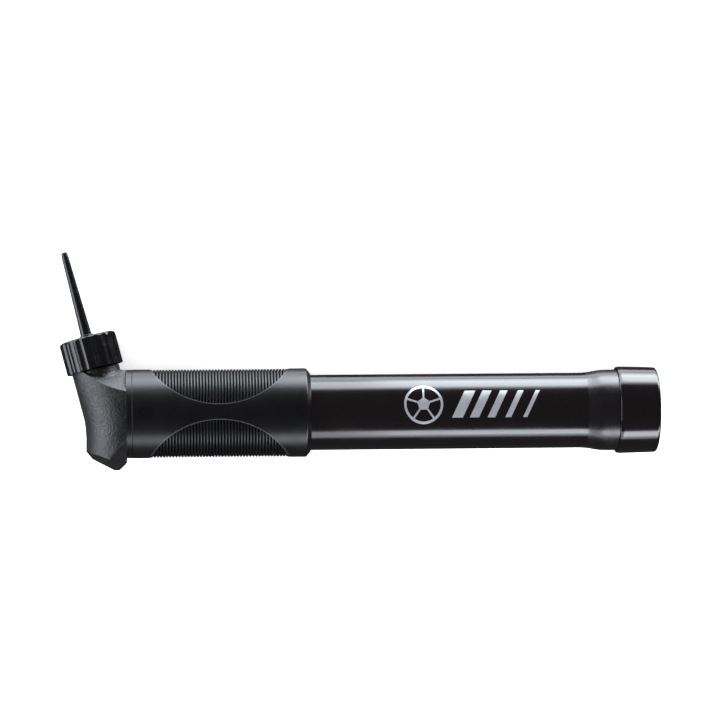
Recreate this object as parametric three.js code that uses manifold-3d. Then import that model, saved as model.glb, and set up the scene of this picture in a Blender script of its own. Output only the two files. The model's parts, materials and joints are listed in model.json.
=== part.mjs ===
// Hand pump for inflating balls, lying on its side: millimetres, +Z up, length along X.
// A ribbed grip and its head carry a hollow rod with a piston on its end. The barrel slides
// over the piston, and the air leaves through the rod, the head and a needle under a nut.
// The model is first laid out about the pump's own axis, with X = 0 at the joint between
// head and grip and the needle on the +Y side, and is rolled and set down at the end.

import * as THREE from "three";
import { mergeVertices } from "three/addons/utils/BufferGeometryUtils.js";
import Module from "manifold-3d";

const wasm = await Module();
wasm.setup();

// ---------------------------------------------------------------- clearances
const seatGap = 0.3; // between two pieces that rest on each other
const runningGap = 0.1; // round a piece that slides or turns inside another

// ---------------------------------------------------------------- barrel
const barrelRadius = 12.5;
const barrelWall = 1.2;
const barrelLength = 154;
const flareRadius = 13.45; // wider stretch of the tube beside the cap
const flareSlope = 5;
const flareLength = 7.3;

// ---------------------------------------------------------------- grip and head
const gripWall = 1.9;
const gripLength = 58.8;
const mouthChamfer = 1.33;
const mouthLip = 0.4; // flat ring left at the mouth of the grip
const cheekInset = 1.1; // of each cheek below the grip's surface
const noseHalfWidth = 9.4; // at the far left of the head
const tailDepth = 3.9; // of the head's tail below the grip's surface
const tailPoint = 4.5; // how far before the grip that lowest point lies
const headReach = 15; // flat left side of the head
const cheekBevel = 2.6;
const cornerEase = 0.7; // softening of the corners of the head's outlines
const neckLap = 1; // the head's body stops this far below the neck's top
const headRingSection = 1.7; // thickness of the O-ring between head and rod
const headRingGrooveWidth = 2.2;
const spigotLength = 5; // plug of the head that carries the grip

// ---------------------------------------------------------------- outlet
const outletLean = 14.7; // degrees, from square to the pump axis
const outletOffset = 7.85; // from the head joint to where the two axes cross
const neckRadius = 7.9;
const neckRise = 0.5; // of the neck's top above the grip's surface
const threadCoreRadius = 6;
const threadedLength = 6;
const threadPitch = 2.5;
const threadHeight = 0.75;
const ridgeRoot = 0.9; // width of a thread ridge at its foot
const ridgeCrest = 0.5;
const passageRadius = 2.2;
const threadSetback = 0.5; // from the ends of the thread to the faces next to them

// ---------------------------------------------------------------- nut and needle
const nutRadius = 9.52;
const nutHeight = 10.8;
const nutLid = 1.7;
const threadDepthGap = 0.45; // between the neck's ridge and the nut's bore
const nutRounding = 1.2;
const nutChamfer = 0.3; // at the foot of the nut
const fluteCount = 20;
const fluteDepth = 0.22;
const washerThickness = 1;
const flangeThickness = 1.4;
const needleCollarRadius = 2.2;
const needleCollarLength = 0.8; // above the nut
const needleRootRadius = 1.8;
const needleTipRadius = 1.1;
const needleLength = 29.2; // above the nut
const needleBoreRadius = 0.55;

// ---------------------------------------------------------------- rod and piston
const rodRadius = 5;
const rodWall = 2;
const rodSocketDepth = 3; // how far the rod enters the head past the joint
const portRadius = 1.2;
const portSetback = 7; // from the end of the rod to its cross ports
const pistonRodEnd = 23; // from the end of the barrel back to the end of the rod
const pistonBossLength = 4;
const pistonLandLength = 6.5;
const pistonHubRadius = 5.5;
const pistonHubLength = 4.7;
const guideRingWidth = 3.4;
const guideGrooveDepth = 1.1;
const cupSealLength = 4;
const cupSealBase = 1.4;
const cupLip = 0.9;
const retainerInset = 2; // from the barrel's wall
const retainerThickness = 1.2;
const screwRadius = 1.3;
const screwHeadRadius = 3.2;
const screwHeadHeight = 2;
const screwLength = 9.8;
const screwHeadTaper = 0.6;
const screwSlotWidth = 0.8;
const screwSlotDepth = 0.9;
const guideSlitWidth = 1;

// ---------------------------------------------------------------- gland, plug and cap
const bumperThickness = 1.4;
const bumperInset = 1; // of the bumpers' edges from the pieces that carry them
const stopBumperThickness = 2.4;
const glandFlangeThickness = 1.7;
const glandFlangeInset = 0.3; // flange radius below the barrel's
const glandDepth = 11.3;
const rodSealSection = 2;
const rodSealSetback = 6; // from the outer face of the gland
const glandRingSetback = 3.5; // from the inner face of the gland
const ringSection = 1.3; // thickness of the O-rings
const ringGrooveWidth = 2;
const ringGrooveDepth = 1.4;
const plugDepth = 7;
const plugWall = 2.7;
const plugFlangeThickness = 3.5;
const inletHoleCount = 5;
const inletHoleRadius = 1.1;
const inletCircleRadius = 4.6;
const flapInset = 1.3; // from the plug's wall
const flapThickness = 0.9;
const flapTaper = 0.4;
const flapStemRadius = 1.1;
const flapBulbRadius = 2;
const flapBulbLength = 2;
const notchCount = 3;
const notchWidth = 3;
const notchDepth = 1.2;
const capWall = 0.72; // at the rim
const capTaper = 0.3; // loss of radius from the rim to the end
const capLength = 13.4;
const capEndWall = 2;
const capOverlap = 1.8; // how far the rim reaches over the flare
const capRounding = 1;

// ---------------------------------------------------------------- mesh fineness
const shellSides = 48; // outside shells
const bodySides = 32;
const smallSides = 24;
const ringCorners = 6; // section of an O-ring
const holeSides = 16;
const stepsPerThreadTurn = 20;
const stepsPerFlute = 4;
const cutOver = 1; // how far a cutting tool reaches past a face

// ---------------------------------------------------------------- sizes that follow
const barrelBore = barrelRadius - barrelWall;
const gripBore = barrelRadius + seatGap;
const gripRadius = gripBore + gripWall;
const bumperStart = spigotLength + seatGap;
const glandStart = bumperStart + bumperThickness + seatGap;
const barrelStart = glandStart + glandFlangeThickness + seatGap;
const barrelEnd = barrelStart + barrelLength;
const rodEnd = barrelEnd - pistonRodEnd;
const pistonStart = rodEnd + seatGap;
const plugStart = barrelEnd + seatGap;
const capStart = barrelEnd - capOverlap;
const capEnd = capStart + capLength;
const capBore = flareRadius + seatGap;
const capRimRadius = capBore + capWall;
const neckTop = gripRadius + neckRise;
const nutStart = neckTop + seatGap;
const nutEnd = nutStart + nutHeight;
const lidStart = nutEnd - nutLid;
const threadEnd = neckTop + threadedLength;
const nutBoreRadius = threadCoreRadius + threadHeight + threadDepthGap;
const flangeRadius = threadCoreRadius;
const washerRadius = flangeRadius - seatGap;
const sealRadius = barrelBore - runningGap;
const spigotRadius = gripBore - seatGap;
const headHalfWidth = gripRadius - cheekInset;
const headDrop = gripRadius + tailDepth;
const rodBoreRadius = rodRadius - rodWall;
const rodBushRadius = rodRadius + runningGap;
const rodSeatRadius = rodRadius + seatGap;
const plugRadius = barrelBore - seatGap;
const ringGrooveRadius = plugRadius - ringGrooveDepth;
const retainerRadius = plugRadius - retainerInset;
const flapRadius = plugRadius - plugWall - flapInset;

// ---------------------------------------------------------------- finishes
const finish = (color, roughness, metalness = 0) =>
  new THREE.MeshStandardMaterial({ color, roughness, metalness });
const mattBlack = finish(0x2e3033, 0.55);
const glossBlack = finish(0x141416, 0.15);
const aluminium = finish(0xc4c7cb, 0.3, 1);
const steel = finish(0x9a9da1, 0.35, 1);
const rubber = finish(0x1b1b1c, 0.8);
const naturalPlastic = finish(0xdcdad2, 0.45);

// ---------------------------------------------------------------- solids
// A closed geometry as a solid that can be joined to others and cut by them.
function solid(geometry) {
  geometry.deleteAttribute("normal");
  geometry.deleteAttribute("uv");
  const merged = mergeVertices(geometry, 1e-4);
  const corners = merged.index.array;
  const triangles = [];
  for (let i = 0; i < corners.length; i += 3) {
    const [a, b, c] = [corners[i], corners[i + 1], corners[i + 2]];
    if (a !== b && b !== c && c !== a) {
      triangles.push(a, b, c);
    }
  }
  return new wasm.Manifold(new wasm.Mesh({
    numProp: 3,
    vertProperties: new Float32Array(merged.attributes.position.array),
    triVerts: new Uint32Array(triangles),
  }));
}

// Outline of [height, radius] points turned about the Y axis. It ends on the axis at both
// ends, or closes on itself as a ring does.
function turned(outline, sides = bodySides) {
  const points = outline.map(([height, radius]) => new THREE.Vector2(radius, height));
  const isRing = points[0].x > 0 || points[points.length - 1].x > 0;
  if (isRing) {
    points.push(points[0].clone());
  }
  if (THREE.ShapeUtils.area(points) < 0) {
    points.reverse();
  }
  return new THREE.LatheGeometry(points, sides);
}

// Ring with a square section, from one height to another.
function ring(start, end, innerRadius, outerRadius, sides = bodySides) {
  const outline = [[start, innerRadius], [start, outerRadius], [end, outerRadius], [end, innerRadius]];
  return turned(outline, sides);
}

// Rod along the Y axis, from one height to another.
function rod(start, end, radius, sides = smallSides) {
  return turned([[start, 0], [start, radius], [end, radius], [end, 0]], sides);
}

// Ring with a round section, lying in a groove that is centred at a height.
function sealRing(height, innerRadius, thickness) {
  const outline = [];
  for (let i = 0; i < ringCorners; i += 1) {
    const angle = (i + 0.5) * 2 * Math.PI / ringCorners;
    const reach = thickness / 2 / Math.cos(Math.PI / ringCorners);
    outline.push([
      height + reach * Math.sin(angle),
      innerRadius + thickness / 2 + reach * Math.cos(angle),
    ]);
  }
  return turned(outline);
}

// Thread ridge about the Y axis: a straight bar wound down from its top, one pitch a turn.
function threadRidge(footRadius, crestRadius, top, bottom, startAngle) {
  const turns = (top - bottom - ridgeRoot) / threadPitch;
  const section = new THREE.Shape([
    new THREE.Vector2(footRadius, top - ridgeRoot),
    new THREE.Vector2(crestRadius, top - (ridgeRoot + ridgeCrest) / 2),
    new THREE.Vector2(crestRadius, top - (ridgeRoot - ridgeCrest) / 2),
    new THREE.Vector2(footRadius, top),
  ]);
  const bar = new THREE.ExtrudeGeometry(section, {
    depth: turns * 2 * Math.PI,
    steps: Math.round(turns * stepsPerThreadTurn),
    bevelEnabled: false,
  });
  const position = bar.attributes.position;
  for (let i = 0; i < position.count; i += 1) {
    const radius = position.getX(i);
    const wound = position.getZ(i);
    position.setXYZ(
      i,
      radius * Math.cos(wound + startAngle),
      position.getY(i) - threadPitch * wound / (2 * Math.PI),
      radius * Math.sin(wound + startAngle),
    );
  }
  return bar;
}

// Copies of a geometry spaced evenly round the Y axis, cut from a solid one after another.
function cutRound(body, count, makeTool) {
  let result = body;
  for (let i = 0; i < count; i += 1) {
    const tool = makeTool().rotateY(2 * Math.PI * i / count);
    result = result.subtract(solid(tool));
  }
  return result;
}

// Named mesh of a solid, added to the group that places it.
function addPiece(group, name, body, material) {
  const { vertProperties, triVerts } = body.getMesh();
  const geometry = new THREE.BufferGeometry();
  geometry.setAttribute("position", new THREE.BufferAttribute(vertProperties, 3));
  geometry.setIndex(new THREE.BufferAttribute(triVerts, 1));
  geometry.computeVertexNormals();
  const mesh = new THREE.Mesh(geometry, material);
  mesh.name = name;
  group.add(mesh);
}

// ---------------------------------------------------------------- axes
// In each of these groups the local Y axis is the axis that its pieces are turned about.
const pump = new THREE.Group();
const pumpAxis = new THREE.Group();
pumpAxis.rotation.z = -Math.PI / 2;
pumpAxis.updateMatrix();
const outletAxis = new THREE.Group();
outletAxis.rotation.z = THREE.MathUtils.degToRad(outletLean);
outletAxis.position.x = -outletOffset;
outletAxis.updateMatrix();
pump.add(pumpAxis, outletAxis);

const onPumpAxis = (geometry) => solid(geometry.applyMatrix4(pumpAxis.matrix));
const onOutletAxis = (geometry) => solid(geometry.applyMatrix4(outletAxis.matrix));

// ---------------------------------------------------------------- head
// Side outline of the head's body: flat left side, sloping underside, tail, and the slanted
// line of the neck.
function headOutline() {
  const lean = THREE.MathUtils.degToRad(outletLean);
  const insideNeck = neckRadius - seatGap;
  const neckEdge = (along, side) => [
    -outletOffset - along * Math.sin(lean) + side * insideNeck * Math.cos(lean),
    along * Math.cos(lean) + side * insideNeck * Math.sin(lean),
  ];
  const shoulder = gripRadius - seatGap;
  const tailFoot = headDrop - cheekBevel;
  const outline = new THREE.Shape();
  outline.moveTo(-seatGap, -shoulder);
  outline.lineTo(cheekBevel - tailPoint, -tailFoot);
  outline.quadraticCurveTo(-tailPoint, -headDrop, -tailPoint - cheekBevel, -headDrop + cornerEase);
  outline.lineTo(-headReach + cornerEase, -shoulder + cornerEase);
  outline.quadraticCurveTo(-headReach, -shoulder + cornerEase, -headReach, -shoulder + 3 * cornerEase);
  outline.lineTo(-headReach, -gripRadius / 2);
  const bend = neckEdge(threadCoreRadius, -1);
  outline.quadraticCurveTo(-headReach - cornerEase / 2, 0, ...bend);
  outline.lineTo(...neckEdge(neckTop - 2 * neckLap, -1));
  outline.lineTo(...neckEdge(neckTop - neckLap, 1));
  outline.quadraticCurveTo(...neckEdge(neckTop - 2 * neckLap, 1), -seatGap, shoulder);
  outline.closePath();
  return outline;
}

// Plan outline of the head, seen along the outlet: wide at the grip, narrow at the nose.
function headPlan() {
  const plan = new THREE.Shape();
  const nose = -outletOffset - 2 * neckRadius;
  plan.moveTo(0, -headHalfWidth);
  plan.quadraticCurveTo(-outletOffset, -headHalfWidth + cornerEase, -headReach, -noseHalfWidth);
  plan.quadraticCurveTo(nose, -noseHalfWidth / 2, nose, 0);
  plan.quadraticCurveTo(nose, noseHalfWidth / 2, -headReach, noseHalfWidth);
  plan.quadraticCurveTo(-outletOffset, headHalfWidth - cornerEase, 0, headHalfWidth);
  plan.closePath();
  return plan;
}

// Cross outline of the head, seen along the pump axis: flat cheeks with bevelled edges.
function headSection() {
  const top = gripRadius + cheekBevel;
  const corners = [
    [headHalfWidth - cheekBevel, -headDrop],
    [headHalfWidth, -headDrop + 2 * cheekBevel],
    [headHalfWidth, gripRadius / 3],
    [headHalfWidth - 2 * cheekBevel, top],
  ];
  const mirrored = corners.map(([across, up]) => [-across, up]).reverse();
  return new THREE.Shape([...corners, ...mirrored].map(([across, up]) => new THREE.Vector2(across, up)));
}

function makeHead() {
  const size = 4 * gripRadius;
  const plain = { depth: size, curveSegments: 6, bevelEnabled: false };
  const side = new THREE.ExtrudeGeometry(headOutline(), plain).translate(0, 0, -size / 2);
  const plan = new THREE.ExtrudeGeometry(headPlan(), plain);
  plan.rotateX(Math.PI / 2).translate(0, size / 2, 0);
  const section = new THREE.ExtrudeGeometry(headSection(), plain);
  section.rotateY(Math.PI / 2).translate(-size / 2, 0, 0);
  const cheeks = solid(side).intersect(solid(plan)).intersect(solid(section));

  const neck = rod(0, neckTop, neckRadius, bodySides);
  const spigot = rod(-tailPoint, spigotLength, spigotRadius, bodySides);
  const core = rod(neckTop - neckLap, threadEnd, threadCoreRadius, bodySides);
  const ridge = threadRidge(
    threadCoreRadius - seatGap,
    threadCoreRadius + threadHeight,
    threadEnd - threadSetback,
    nutStart + threadSetback,
    0,
  );
  const socketEnd = -rodSocketDepth - seatGap;
  const socket = rod(socketEnd, spigotLength + cutOver, rodSeatRadius);
  const grooveMiddle = rodSocketDepth / 2;
  const grooveHalf = headRingGrooveWidth / 2;
  const grooveRadius = rodBushRadius + headRingSection + seatGap;
  const groove = rod(grooveMiddle - grooveHalf, grooveMiddle + grooveHalf, grooveRadius, bodySides);
  const elbow = rod(-outletOffset, socketEnd + cutOver, passageRadius - 0.3, holeSides);
  const riser = rod(-passageRadius, threadEnd + cutOver, passageRadius, holeSides);
  return cheeks
    .add(onOutletAxis(neck))
    .add(onOutletAxis(core))
    .add(onOutletAxis(ridge))
    .add(onPumpAxis(spigot))
    .subtract(onPumpAxis(socket))
    .subtract(onPumpAxis(groove))
    .subtract(onPumpAxis(elbow))
    .subtract(onOutletAxis(riser));
}

addPiece(pump, "pump_head", makeHead(), mattBlack);
const headRing = sealRing(rodSocketDepth / 2, rodBushRadius, headRingSection);
addPiece(pumpAxis, "head_rod_o_ring", solid(headRing), rubber);

// ---------------------------------------------------------------- grip
const gripSleeve = turned([
  [seatGap, gripBore],
  [seatGap, gripRadius - seatGap],
  [2 * seatGap, gripRadius],
  [seatGap + gripLength - mouthChamfer, gripRadius],
  [seatGap + gripLength, gripBore + mouthLip],
  [seatGap + gripLength, gripBore],
], shellSides);
addPiece(pumpAxis, "grip_sleeve", solid(gripSleeve), mattBlack);

// ---------------------------------------------------------------- rod and piston
const rodTube = ring(-rodSocketDepth, rodEnd, rodBoreRadius, rodRadius, smallSides);
const crossPort = rod(-2 * rodRadius, 2 * rodRadius, portRadius, holeSides);
crossPort.rotateX(Math.PI / 2).translate(0, rodEnd - portSetback, 0);
addPiece(pumpAxis, "piston_rod", solid(rodTube).subtract(solid(crossPort)), aluminium);

const landEnd = pistonStart + pistonLandLength;
const hubEnd = landEnd + pistonHubLength;
const landRadius = sealRadius - seatGap - runningGap;
const guideStart = pistonStart + (pistonLandLength - guideRingWidth) / 2;
const guideEnd = guideStart + guideRingWidth;
const grooveFloor = landRadius - guideGrooveDepth;
const screwHoleRadius = screwRadius + seatGap;
const retainerStart = hubEnd + seatGap;
const screwHeadStart = retainerStart + retainerThickness + seatGap;
const screwTip = screwHeadStart - screwLength;

const piston = turned([
  [rodEnd - pistonBossLength, 0],
  [rodEnd - pistonBossLength, rodBoreRadius - seatGap],
  [pistonStart, rodBoreRadius - seatGap],
  [pistonStart, landRadius],
  [guideStart - seatGap, landRadius],
  [guideStart - seatGap, grooveFloor],
  [guideEnd + seatGap, grooveFloor],
  [guideEnd + seatGap, landRadius],
  [landEnd, landRadius],
  [landEnd, pistonHubRadius],
  [hubEnd, pistonHubRadius],
  [hubEnd, screwHoleRadius],
  [screwTip - seatGap, screwHoleRadius],
  [screwTip - seatGap, 0],
]);
addPiece(pumpAxis, "piston_body", solid(piston), naturalPlastic);

const guideRing = ring(guideStart, guideEnd, grooveFloor + seatGap, sealRadius);
const guideSlit = new THREE.BoxGeometry(guideSlitWidth, 2 * guideRingWidth, barrelRadius);
guideSlit.translate(0, guideStart, barrelRadius);
addPiece(pumpAxis, "piston_guide_ring", solid(guideRing).subtract(solid(guideSlit)), naturalPlastic);

// The cup's lip points back along the rod: it lets air pass towards the rod's ports only.
const cupStart = landEnd + seatGap;
const cupEnd = cupStart + cupSealLength;
const cupSeal = turned([
  [cupEnd - cupSealBase, pistonHubRadius + seatGap],
  [cupEnd, pistonHubRadius + seatGap],
  [cupEnd, sealRadius - seatGap],
  [cupStart, sealRadius],
  [cupStart, sealRadius - cupLip],
  [cupEnd - cupSealBase, sealRadius - cupLip - seatGap],
]);
addPiece(pumpAxis, "piston_cup_seal", solid(cupSeal), rubber);

const retainerEnd = retainerStart + retainerThickness;
const retainer = ring(retainerStart, retainerEnd, screwHoleRadius, retainerRadius, smallSides);
addPiece(pumpAxis, "seal_retainer", solid(retainer), steel);

const screw = turned([
  [screwTip, 0],
  [screwTip, screwRadius],
  [screwHeadStart, screwRadius],
  [screwHeadStart, screwHeadRadius],
  [screwHeadStart + screwHeadHeight, screwHeadRadius - screwHeadTaper],
  [screwHeadStart + screwHeadHeight, 0],
], smallSides);
const screwSlot = new THREE.BoxGeometry(screwSlotWidth, 2 * screwSlotDepth, 3 * screwHeadRadius);
screwSlot.translate(0, screwHeadStart + screwHeadHeight, 0);
addPiece(pumpAxis, "piston_screw", solid(screw).subtract(solid(screwSlot)), steel);

const bumperEnd = bumperStart + bumperThickness;
const closingBumper = ring(bumperStart, bumperEnd, rodSeatRadius, spigotRadius - bumperInset);
addPiece(pumpAxis, "closing_bumper", solid(closingBumper), rubber);

const stopBumperEnd = pistonStart - seatGap;
const stopBumperStart = stopBumperEnd - stopBumperThickness;
const stopBumper = ring(stopBumperStart, stopBumperEnd, rodSeatRadius, landRadius - bumperInset);
addPiece(pumpAxis, "opening_bumper", solid(stopBumper), rubber);

// ---------------------------------------------------------------- gland
const glandEnd = glandStart + glandFlangeThickness + seatGap + glandDepth;
const rodSealMiddle = glandStart + rodSealSetback;
const glandRingMiddle = glandEnd - glandRingSetback;
const rodSealHalf = rodSealSection / 2;
const rodSealGrooveRadius = rodBushRadius + rodSealSection + seatGap;
const gland = turned([
  [glandStart, rodBushRadius],
  [glandStart, barrelRadius - glandFlangeInset],
  [glandStart + glandFlangeThickness, barrelRadius - glandFlangeInset],
  [glandStart + glandFlangeThickness, plugRadius],
  [glandRingMiddle - ringGrooveWidth / 2, plugRadius],
  [glandRingMiddle - ringGrooveWidth / 2, ringGrooveRadius],
  [glandRingMiddle + ringGrooveWidth / 2, ringGrooveRadius],
  [glandRingMiddle + ringGrooveWidth / 2, plugRadius],
  [glandEnd, plugRadius],
  [glandEnd, rodBushRadius],
  [rodSealMiddle + rodSealHalf + seatGap, rodBushRadius],
  [rodSealMiddle + rodSealHalf + seatGap, rodSealGrooveRadius],
  [rodSealMiddle - rodSealHalf - seatGap, rodSealGrooveRadius],
  [rodSealMiddle - rodSealHalf - seatGap, rodBushRadius],
]);
addPiece(pumpAxis, "rod_gland", solid(gland), naturalPlastic);

const rodSeal = ring(
  rodSealMiddle - rodSealHalf,
  rodSealMiddle + rodSealHalf,
  rodBushRadius,
  rodBushRadius + rodSealSection,
);
addPiece(pumpAxis, "rod_seal_ring", solid(rodSeal), rubber);
const glandRing = sealRing(glandRingMiddle, sealRadius - ringSection, ringSection);
addPiece(pumpAxis, "gland_o_ring", solid(glandRing), rubber);

// ---------------------------------------------------------------- barrel
const flareStart = barrelEnd - flareLength;
const barrel = turned([
  [barrelStart, barrelBore],
  [barrelStart, barrelRadius - seatGap],
  [barrelStart + seatGap, barrelRadius],
  [flareStart - flareSlope, barrelRadius],
  [flareStart, flareRadius],
  [barrelEnd, flareRadius],
  [barrelEnd, barrelBore],
], shellSides);
addPiece(pumpAxis, "barrel_tube", solid(barrel), glossBlack);

// ---------------------------------------------------------------- end plug and inlet valve
const plugFlangeEnd = plugStart + plugFlangeThickness;
const plugTip = plugStart - plugDepth;
const plugRingMiddle = plugStart - plugDepth / 2;
const plugOutline = turned([
  [plugTip, plugRadius - plugWall],
  [plugTip, plugRadius],
  [plugRingMiddle - ringGrooveWidth / 2, plugRadius],
  [plugRingMiddle - ringGrooveWidth / 2, ringGrooveRadius],
  [plugRingMiddle + ringGrooveWidth / 2, ringGrooveRadius],
  [plugRingMiddle + ringGrooveWidth / 2, plugRadius],
  [plugStart, plugRadius],
  [plugStart, flareRadius],
  [plugFlangeEnd, flareRadius],
  [plugFlangeEnd, flapStemRadius + seatGap],
  [plugStart, flapStemRadius + seatGap],
  [plugStart, plugRadius - plugWall],
]);
const inletHole = () => rod(plugStart - cutOver, plugFlangeEnd + cutOver, inletHoleRadius, holeSides)
  .translate(inletCircleRadius, 0, 0);
const airNotch = () => new THREE.BoxGeometry(2 * notchDepth, 2 * plugFlangeThickness, notchWidth)
  .translate(flareRadius, plugStart + plugFlangeThickness, 0);
const notchedPlug = cutRound(solid(plugOutline), notchCount, airNotch);
addPiece(pumpAxis, "end_plug", cutRound(notchedPlug, inletHoleCount, inletHole), naturalPlastic);

const plugRing = sealRing(plugRingMiddle, sealRadius - ringSection, ringSection);
addPiece(pumpAxis, "end_plug_o_ring", solid(plugRing), rubber);

const flapEnd = plugStart - seatGap;
const bulbStart = plugFlangeEnd + seatGap;
const flapValve = turned([
  [flapEnd - flapThickness, 0],
  [flapEnd - flapThickness, flapRadius - flapTaper],
  [flapEnd, flapRadius],
  [flapEnd, flapStemRadius],
  [bulbStart, flapStemRadius],
  [bulbStart, flapBulbRadius],
  [bulbStart + flapBulbLength, flapStemRadius],
  [bulbStart + flapBulbLength, 0],
], smallSides);
addPiece(pumpAxis, "inlet_flap_valve", solid(flapValve), rubber);

// ---------------------------------------------------------------- end cap
const capEndRadius = capRimRadius - capTaper;
const endCap = turned([
  [capStart, capBore],
  [capStart, capRimRadius - capWall / 2],
  [capStart + capRounding / 2, capRimRadius],
  [capEnd - capRounding, capEndRadius],
  [capEnd - capRounding * 0.3, capEndRadius - capRounding * 0.3],
  [capEnd, capEndRadius - capRounding],
  [capEnd, 0],
  [capEnd - capEndWall, 0],
  [capEnd - capEndWall, capBore],
], shellSides);
addPiece(pumpAxis, "end_cap", solid(endCap), glossBlack);

// ---------------------------------------------------------------- nut
// Cross-section of the nut: shallow hollow flutes between narrow crests.
function fluteOutline() {
  const points = [];
  for (let i = 0; i < fluteCount * stepsPerFlute; i += 1) {
    const angle = 2 * Math.PI * i / (fluteCount * stepsPerFlute);
    const hollow = Math.abs(Math.sin(angle * fluteCount / 2));
    const radius = nutRadius - fluteDepth * hollow;
    points.push(new THREE.Vector2(radius * Math.cos(angle), radius * Math.sin(angle)));
  }
  return new THREE.Shape(points);
}

function makeNut() {
  const tall = { depth: 2 * nutHeight, bevelEnabled: false };
  const prism = new THREE.ExtrudeGeometry(fluteOutline(), tall);
  prism.rotateX(-Math.PI / 2).translate(0, nutStart - nutHeight / 2, 0);
  const rounded = turned([
    [nutStart, 0],
    [nutStart, nutRadius - nutChamfer],
    [nutStart + nutChamfer, nutRadius + runningGap],
    [nutEnd - nutRounding, nutRadius + runningGap],
    [nutEnd - nutRounding * 0.3, nutRadius - nutRounding * 0.3],
    [nutEnd, nutRadius - nutRounding],
    [nutEnd, 0],
  ], 2 * fluteCount);
  const bore = rod(nutStart - cutOver, lidStart, nutBoreRadius, bodySides);
  const needleHole = rod(nutStart, nutEnd + cutOver, needleCollarRadius + runningGap, smallSides);
  const ridge = threadRidge(
    nutBoreRadius + seatGap,
    threadCoreRadius + seatGap,
    threadEnd - threadSetback,
    nutStart + threadSetback,
    Math.PI,
  );
  return solid(prism).intersect(solid(rounded)).subtract(solid(bore)).subtract(solid(needleHole))
    .add(solid(ridge));
}

addPiece(outletAxis, "needle_nut", makeNut(), glossBlack);

// ---------------------------------------------------------------- needle and its washer
const washerStart = threadEnd + seatGap;
const flangeStart = washerStart + washerThickness + seatGap;
const flangeEnd = flangeStart + flangeThickness;
const collarEnd = nutEnd + needleCollarLength;
const needleEnd = nutEnd + needleLength;
const needle = turned([
  [flangeStart, needleBoreRadius],
  [flangeStart, flangeRadius],
  [flangeEnd, flangeRadius],
  [flangeEnd, needleCollarRadius],
  [collarEnd - seatGap, needleCollarRadius],
  [collarEnd, needleRootRadius],
  [needleEnd - needleTipRadius, needleTipRadius],
  [needleEnd - needleTipRadius * 0.3, needleTipRadius * 0.85],
  [needleEnd, needleBoreRadius],
], smallSides);
addPiece(outletAxis, "needle", solid(needle), glossBlack);

const washer = ring(washerStart, washerStart + washerThickness, passageRadius, washerRadius, smallSides);
addPiece(outletAxis, "needle_washer", solid(washer), rubber);

// ---------------------------------------------------------------- lying on a surface
// The pump is rolled about its own axis until the nut's top edge meets the surface that the
// grip lies on. With t the sine of the outlet's dip, the rim is level with the grip when
// rim * sqrt(1 - t * t) = gripRadius - reach * t.
function restingRoll() {
  const reach = nutEnd - nutRounding;
  const rim = nutRadius;
  const square = reach * reach + rim * rim;
  const half = gripRadius * reach;
  const dip = (half - Math.sqrt(half * half - square * (gripRadius * gripRadius - rim * rim))) / square;
  return Math.asin(dip / Math.cos(THREE.MathUtils.degToRad(outletLean)));
}

const ballPump = new THREE.Group();
ballPump.name = "ball_pump";
pump.rotation.x = -restingRoll();
ballPump.add(pump);
const box = new THREE.Box3().setFromObject(ballPump, true);
const middle = box.getCenter(new THREE.Vector3());
pump.position.set(-middle.x, -middle.y, -box.min.z);

export default ballPump;
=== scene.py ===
import json
import math

import bpy
from mathutils import Matrix, Vector


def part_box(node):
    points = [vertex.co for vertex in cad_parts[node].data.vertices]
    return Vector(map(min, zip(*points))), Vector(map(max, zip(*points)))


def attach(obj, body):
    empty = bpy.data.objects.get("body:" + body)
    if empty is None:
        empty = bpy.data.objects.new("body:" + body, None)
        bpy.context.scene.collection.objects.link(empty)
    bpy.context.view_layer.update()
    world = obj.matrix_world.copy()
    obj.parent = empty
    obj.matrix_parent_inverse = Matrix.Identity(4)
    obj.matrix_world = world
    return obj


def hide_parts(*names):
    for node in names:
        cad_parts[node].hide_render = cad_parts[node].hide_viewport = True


# %% [markdown]
# # A ball pump, piece by piece
# The pump is a black plastic hand pump that lies on its side. Its moving model is already
# made, so this lesson gives each piece its fine surface. Everything is in metres, and the
# places come from the loaded frame, so that a piece always sits where the mechanism is.

# %% Load the frame
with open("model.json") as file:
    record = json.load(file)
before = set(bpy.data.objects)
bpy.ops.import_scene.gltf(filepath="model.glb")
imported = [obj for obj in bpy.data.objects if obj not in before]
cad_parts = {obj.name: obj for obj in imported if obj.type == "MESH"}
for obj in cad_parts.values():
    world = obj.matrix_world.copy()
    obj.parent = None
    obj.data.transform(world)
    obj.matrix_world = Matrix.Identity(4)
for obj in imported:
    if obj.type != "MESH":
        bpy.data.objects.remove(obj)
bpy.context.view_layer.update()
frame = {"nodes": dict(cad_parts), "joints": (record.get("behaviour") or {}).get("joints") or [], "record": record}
MM = 0.001
joints = {joint["name"]: joint for joint in frame["joints"]}
print("nodes:", len(frame["nodes"]), "joints:", list(joints))

# %% [markdown]
# The pump was laid out about its own axis, then rolled until the nut touched the table. The
# same roll is needed here. The direction of the needle's joint gives it: how far that
# direction dips tells the roll, and how far it leans back along the barrel tells the lean.
# Pieces are modelled upright at the origin, and one matrix for each axis sets them down.

# %% Axes of the pump and of its outlet
outlet = Vector(joints["needle_lift"]["axis"]).normalized()
roll = math.atan2(-outlet.z, outlet.y)
lean = math.asin(-outlet.x)
spin_centre = Vector(joints["barrel_spin"]["pos_m"])
HEAD_JOINT_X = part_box("grip_sleeve")[0][0] - 0.3 * MM
pump_place = (
    Matrix.Translation((HEAD_JOINT_X, spin_centre.y, spin_centre.z))
    @ Matrix.Rotation(-roll, 4, "X")
)
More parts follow.
